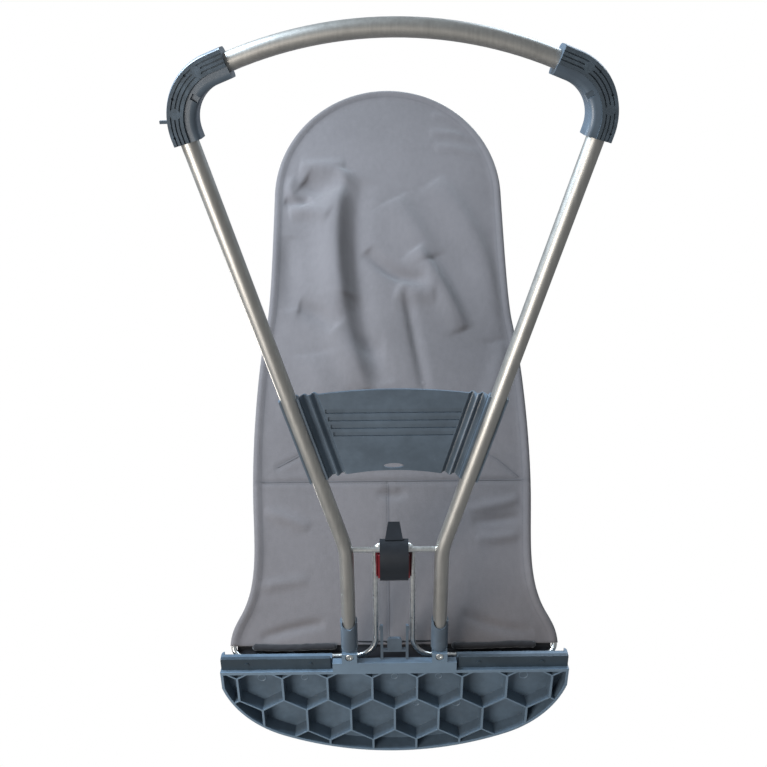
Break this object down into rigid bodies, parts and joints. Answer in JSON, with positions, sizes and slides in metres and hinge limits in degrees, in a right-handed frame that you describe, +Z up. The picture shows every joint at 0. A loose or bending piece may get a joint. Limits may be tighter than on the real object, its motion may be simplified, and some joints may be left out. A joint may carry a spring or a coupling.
{
  "type": "bouncer seat",
  "caption": "Folding baby bouncer: a fabric sling on a spring-wire hoop, hinged on a foot plate with a tube floor frame and a catch that sets the recline.",
  "frame": {"origin": "on the floor, under the middle of the bounding box in the highest seat position", "axes": "+Z up, +Y from the foot plate to the head end, +X to the left of a child lying in the seat"},
  "size_m": [0.39, 0.7904, 0.553],
  "materials": {
    "plate_plastic": "satin moulded slate plastic",
    "frame_plastic": "satin moulded slate plastic, a little lighter",
    "pad_rubber": "matt ribbed rubber",
    "tube_finish": "warm silver satin metallic paint",
    "zinc_steel": "bright zinc plate",
    "catch_plastic": "near-black glass-filled nylon",
    "signal_plastic": "dark red moulded plastic",
    "cover_fabric": "grey woven cotton, lightly creased",
    "button_plastic": "grey press buttons"
  },
  "bodies": {
    "base": {"foot_plate": "plate_plastic", "retainer_strip_left": "plate_plastic", "retainer_strip_right": "plate_plastic", "retainer_pins": "zinc_steel", "side_tube_left": "tube_finish", "side_tube_right": "tube_finish", "crossbar": "zinc_steel", "rear_bar": "tube_finish", "tube_socket_left": "frame_plastic", "tube_socket_right": "frame_plastic", "socket_screws": "zinc_steel", "corner_piece_left": "frame_plastic", "corner_piece_right": "frame_plastic", "corner_pad_left": "pad_rubber", "corner_pad_right": "pad_rubber", "corner_tag": "pad_rubber", "tube_brace": "frame_plastic", "cover_clip": "frame_plastic"},
    "seat": {"seat_hoop": "zinc_steel", "torsion_bail": "zinc_steel", "catch_spring": "zinc_steel", "catch_block": "signal_plastic", "back_panel": "cover_fabric", "seat_panel_left": "cover_fabric", "seat_panel_right": "cover_fabric", "front_hem_left": "cover_fabric", "front_hem_right": "cover_fabric", "restraint_flap": "cover_fabric", "flap_buttons": "button_plastic"},
    "catch": {"catch_hook": "catch_plastic"}
  },
  "joints": [
    {"name": "seat_recline", "type": "hinge", "parent": "base", "child": "seat", "pos_m": [0, -0.26425, 0.02], "axis": [1, 0, 0], "range_deg": [-36, 0]},
    {"name": "catch_release", "type": "hinge", "parent": "seat", "child": "catch", "pos_m": [0, -0.1207, 0.03483], "axis": [1, 0, 0], "range_deg": [-7, 4.5], "stiffness_Nm_per_rad": 0.1, "springref_deg": 17.19}
  ]
}
